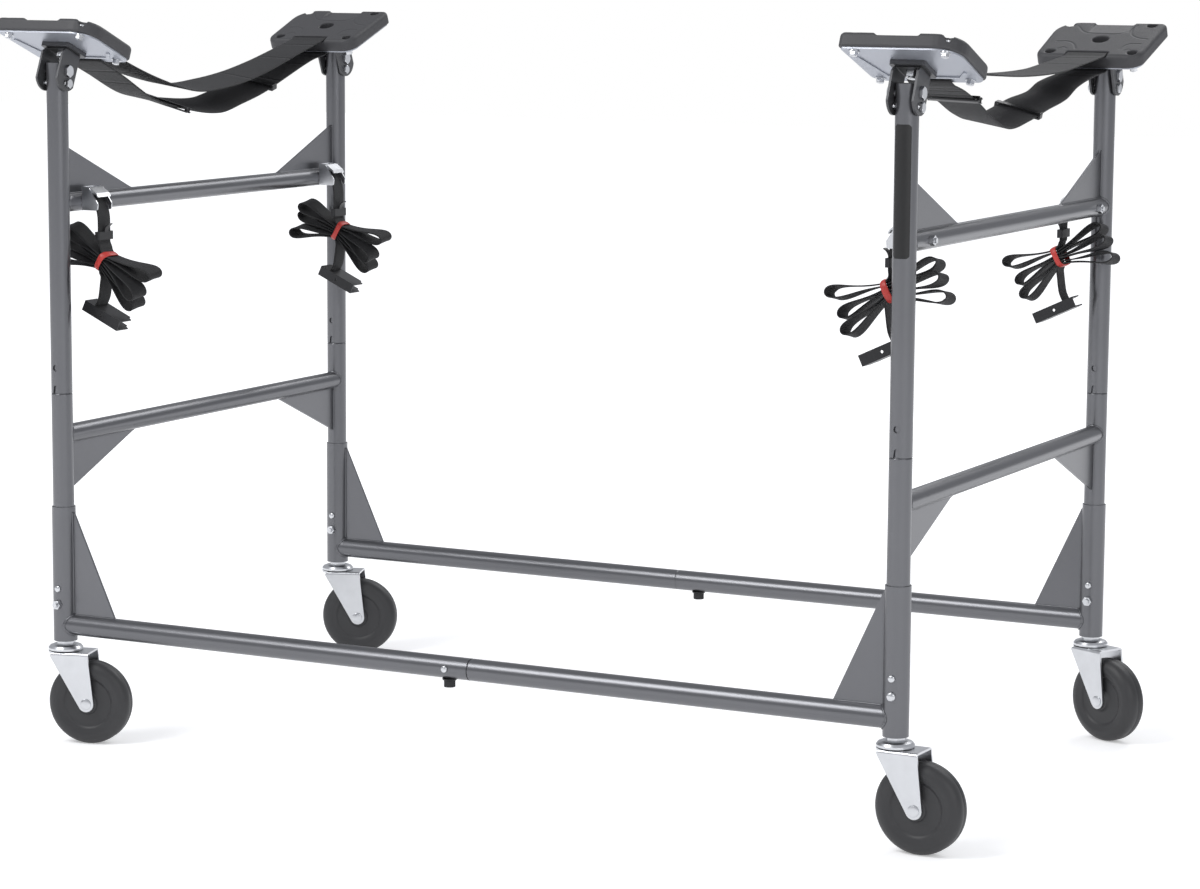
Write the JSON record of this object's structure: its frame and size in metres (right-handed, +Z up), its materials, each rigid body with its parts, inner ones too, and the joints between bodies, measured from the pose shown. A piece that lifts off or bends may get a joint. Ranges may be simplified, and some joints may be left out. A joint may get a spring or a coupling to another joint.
{
  "type": "kayak rack",
  "caption": "Wheeled rack with two H-shaped end frames joined by low rails, tilting cushioned heads, webbing slings and strap tie-downs.",
  "frame": {"origin": "on the floor, midway between the four posts", "axes": "+X along the rack to the right as seen from the front, +Y from front to rear, +Z up"},
  "size_m": [1.235, 0.7004, 0.8745],
  "materials": {
    "frame_paint": "metallic grey powder coat, satin",
    "head_paint": "dark grey, satin",
    "zinc": "bright zinc plate",
    "plate_steel": "pale grey coated sheet",
    "dark_steel": "black oxide",
    "pad_rubber": "moulded, matt",
    "wheel_rubber": "solid rubber, matt",
    "webbing": "woven polyester webbing",
    "band": "thin elastic band"
  },
  "bodies": {
    "frame": {"corner_fl": "frame_paint", "corner_fr": "frame_paint", "corner_rl": "frame_paint", "corner_rr": "frame_paint", "lower_h_left": "frame_paint", "lower_h_right": "frame_paint", "upper_h_left": "frame_paint", "upper_h_right": "frame_paint", "frame_bolts": "zinc", "rail_bolts": "dark_steel", "pad_head_bolts": "zinc", "button_springs": "dark_steel", "caster_stems": "zinc", "caster_balls": "zinc", "sling_left": "webbing", "sling_right": "webbing", "sling_hardware": "dark_steel", "tie_straps": "webbing", "buckle_frames": "zinc", "strap_sliders": "dark_steel", "bundle_bands": "band", "strap_hooks": "dark_steel"},
    "pad_bracket_fl": {"pad_bracket_fl": "head_paint"},
    "pad_fl": {"pad_plate_fl": "plate_steel", "pad_fl": "pad_rubber", "pad_fasteners_fl": "zinc"},
    "fork_fl": {"caster_fork_fl": "zinc", "caster_axle_fl": "zinc"},
    "wheel_fl": {"wheel_fl": "wheel_rubber"},
    "button_fl": {"snap_button_fl": "zinc"},
    "cam_fl": {"cam_lever_fl": "zinc"},
    "pad_bracket_fr": {"pad_bracket_fr": "head_paint"},
    "pad_fr": {"pad_plate_fr": "plate_steel", "pad_fr": "pad_rubber", "pad_fasteners_fr": "zinc"},
    "fork_fr": {"caster_fork_fr": "zinc", "caster_axle_fr": "zinc"},
    "wheel_fr": {"wheel_fr": "wheel_rubber"},
    "button_fr": {"snap_button_fr": "zinc"},
    "cam_fr": {"cam_lever_fr": "zinc"},
    "pad_bracket_rl": {"pad_bracket_rl": "head_paint"},
    "pad_rl": {"pad_plate_rl": "plate_steel", "pad_rl": "pad_rubber", "pad_fasteners_rl": "zinc"},
    "fork_rl": {"caster_fork_rl": "zinc", "caster_axle_rl": "zinc"},
    "wheel_rl": {"wheel_rl": "wheel_rubber"},
    "button_rl": {"snap_button_rl": "zinc"},
    "cam_rl": {"cam_lever_rl": "zinc"},
    "pad_bracket_rr": {"pad_bracket_rr": "head_paint"},
    "pad_rr": {"pad_plate_rr": "plate_steel", "pad_rr": "pad_rubber", "pad_fasteners_rr": "zinc"},
    "fork_rr": {"caster_fork_rr": "zinc", "caster_axle_rr": "zinc"},
    "wheel_rr": {"wheel_rr": "wheel_rubber"},
    "button_rr": {"snap_button_rr": "zinc"},
    "cam_rr": {"cam_lever_rr": "zinc"},
    "button_front": {"snap_button_front": "zinc"},
    "button_rear": {"snap_button_rear": "zinc"}
  },
  "joints": [
    {"name": "pad_tilt_fl", "type": "hinge", "parent": "frame", "child": "pad_bracket_fl", "pos_m": [-0.5425, -0.315, 0.8119], "axis": [1, 0, 0], "range_deg": [-7.5, 22.5], "deforming": ["sling_left"]},
    {"name": "pad_swivel_fl", "type": "hinge", "parent": "pad_bracket_fl", "child": "pad_fl", "pos_m": [-0.5425, -0.30097, 0.83531], "axis": [0, 0.3827, 0.9239], "range_deg": [-20, 20], "deforming": ["sling_left"]},
    {"name": "caster_swivel_fl", "type": "hinge", "parent": "frame", "child": "fork_fl", "pos_m": [-0.5425, -0.315, 0.1135], "axis": [0, 0, 1], "continuous": true},
    {"name": "wheel_spin_fl", "type": "hinge", "parent": "fork_fl", "child": "wheel_fl", "pos_m": [-0.5126, -0.30643, 0.0508], "axis": [-0.2756, 0.9613, 0], "continuous": true},
    {"name": "button_press_fl", "type": "slide", "parent": "frame", "child": "button_fl", "axis": [0, 1, 0], "range_m": [0, 0.0044], "stiffness_N_per_m": 800, "deforming": ["button_springs"]},
    {"name": "cam_release_fl", "type": "hinge", "parent": "frame", "child": "cam_fl", "pos_m": [-0.5235, -0.269, 0.6689], "axis": [0, -1, 0], "range_deg": [0, 60], "stiffness_Nm_per_rad": 0.2},
    {"name": "pad_tilt_fr", "type": "hinge", "parent": "frame", "child": "pad_bracket_fr", "pos_m": [0.5425, -0.315, 0.8119], "axis": [1, 0, 0], "range_deg": [-7.5, 22.5], "deforming": ["sling_right"]},
    {"name": "pad_swivel_fr", "type": "hinge", "parent": "pad_bracket_fr", "child": "pad_fr", "pos_m": [0.5425, -0.30097, 0.83531], "axis": [0, 0.3827, 0.9239], "range_deg": [-20, 20], "deforming": ["sling_right"]},
    {"name": "caster_swivel_fr", "type": "hinge", "parent": "frame", "child": "fork_fr", "pos_m": [0.5425, -0.315, 0.1135], "axis": [0, 0, 1], "continuous": true},
    {"name": "wheel_spin_fr", "type": "hinge", "parent": "fork_fr", "child": "wheel_fr", "pos_m": [0.57358, -0.31609, 0.0508], "axis": [0.0349, 0.9994, 0], "continuous": true},
    {"name": "button_press_fr", "type": "slide", "parent": "frame", "child": "button_fr", "axis": [0, 1, 0], "range_m": [0, 0.0044], "stiffness_N_per_m": 800, "deforming": ["button_springs"]},
    {"name": "cam_release_fr", "type": "hinge", "parent": "frame", "child": "cam_fr", "pos_m": [0.5235, -0.269, 0.6689], "axis": [0, 1, 0], "range_deg": [0, 60], "stiffness_Nm_per_rad": 0.2},
    {"name": "pad_tilt_rl", "type": "hinge", "parent": "frame", "child": "pad_bracket_rl", "pos_m": [-0.5425, 0.315, 0.8119], "axis": [-1, 0, 0], "range_deg": [-7.5, 22.5], "deforming": ["sling_left"]},
    {"name": "pad_swivel_rl", "type": "hinge", "parent": "pad_bracket_rl", "child": "pad_rl", "pos_m": [-0.5425, 0.30097, 0.83531], "axis": [0, -0.3827, 0.9239], "range_deg": [-20, 20], "deforming": ["sling_left"]},
    {"name": "caster_swivel_rl", "type": "hinge", "parent": "frame", "child": "fork_rl", "pos_m": [-0.5425, 0.315, 0.1135], "axis": [0, 0, 1], "continuous": true},
    {"name": "wheel_spin_rl", "type": "hinge", "parent": "fork_rl", "child": "wheel_rl", "pos_m": [-0.51328, 0.32564, 0.0508], "axis": [-0.342, 0.9397, 0], "continuous": true},
    {"name": "button_press_rl", "type": "slide", "parent": "frame", "child": "button_rl", "axis": [0, 1, 0], "range_m": [0, 0.0044], "stiffness_N_per_m": 800, "deforming": ["button_springs"]},
    {"name": "cam_release_rl", "type": "hinge", "parent": "frame", "child": "cam_rl", "pos_m": [-0.5235, 0.269, 0.6689], "axis": [0, -1, 0], "range_deg": [0, 60], "stiffness_Nm_per_rad": 0.2},
    {"name": "pad_tilt_rr", "type": "hinge", "parent": "frame", "child": "pad_bracket_rr", "pos_m": [0.5425, 0.315, 0.8119], "axis": [-1, 0, 0], "range_deg": [-7.5, 22.5], "deforming": ["sling_right"]},
    {"name": "pad_swivel_rr", "type": "hinge", "parent": "pad_bracket_rr", "child": "pad_rr", "pos_m": [0.5425, 0.30097, 0.83531], "axis": [0, -0.3827, 0.9239], "range_deg": [-20, 20], "deforming": ["sling_right"]},
    {"name": "caster_swivel_rr", "type": "hinge", "parent": "frame", "child": "fork_rr", "pos_m": [0.5425, 0.315, 0.1135], "axis": [0, 0, 1], "continuous": true},
    {"name": "wheel_spin_rr", "type": "hinge", "parent": "fork_rr", "child": "wheel_rr", "pos_m": [0.57091, 0.30235, 0.0508], "axis": [0.4067, 0.9135, 0], "continuous": true},
    {"name": "button_press_rr", "type": "slide", "parent": "frame", "child": "button_rr", "axis": [0, 1, 0], "range_m": [0, 0.0044], "stiffness_N_per_m": 800, "deforming": ["button_springs"]},
    {"name": "cam_release_rr", "type": "hinge", "parent": "frame", "child": "cam_rr", "pos_m": [0.5235, 0.269, 0.6689], "axis": [0, 1, 0], "range_deg": [0, 60], "stiffness_Nm_per_rad": 0.2},
    {"name": "button_press_front", "type": "slide", "parent": "frame", "child": "button_front", "axis": [0, 1, 0], "range_m": [0, 0.0044], "stiffness_N_per_m": 800, "deforming": ["button_springs"]},
    {"name": "button_press_rear", "type": "slide", "parent": "frame", "child": "button_rear", "axis": [0, -1, 0], "range_m": [0, 0.0044], "stiffness_N_per_m": 800, "deforming": ["button_springs"]}
  ]
}
